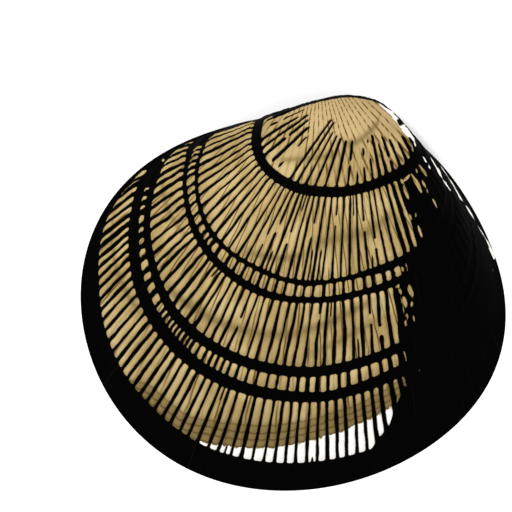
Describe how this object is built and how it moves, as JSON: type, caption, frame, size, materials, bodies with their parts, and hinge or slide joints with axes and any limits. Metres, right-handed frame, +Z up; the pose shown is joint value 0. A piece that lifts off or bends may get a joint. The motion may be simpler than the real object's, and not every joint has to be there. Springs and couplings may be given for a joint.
{
  "type": "clam shell",
  "caption": "Single hollow valve of a rounded clam, ribbed and banded outside, with a flat rim to rest on",
  "frame": {"origin": "centre of the bounding box seen from above, in the plane of the rim that the valve rests on", "axes": "+X along the length, towards the dark flank; +Y towards the hinge and beak; +Z up, out of the domed side"},
  "size_m": [0.0698, 0.0656, 0.0197],
  "materials": {
    "shell": "chalky, worn, with a dark skin in the grooves"
  },
  "bodies": {
    "root": {"valve": "shell"}
  },
  "joints": []
}
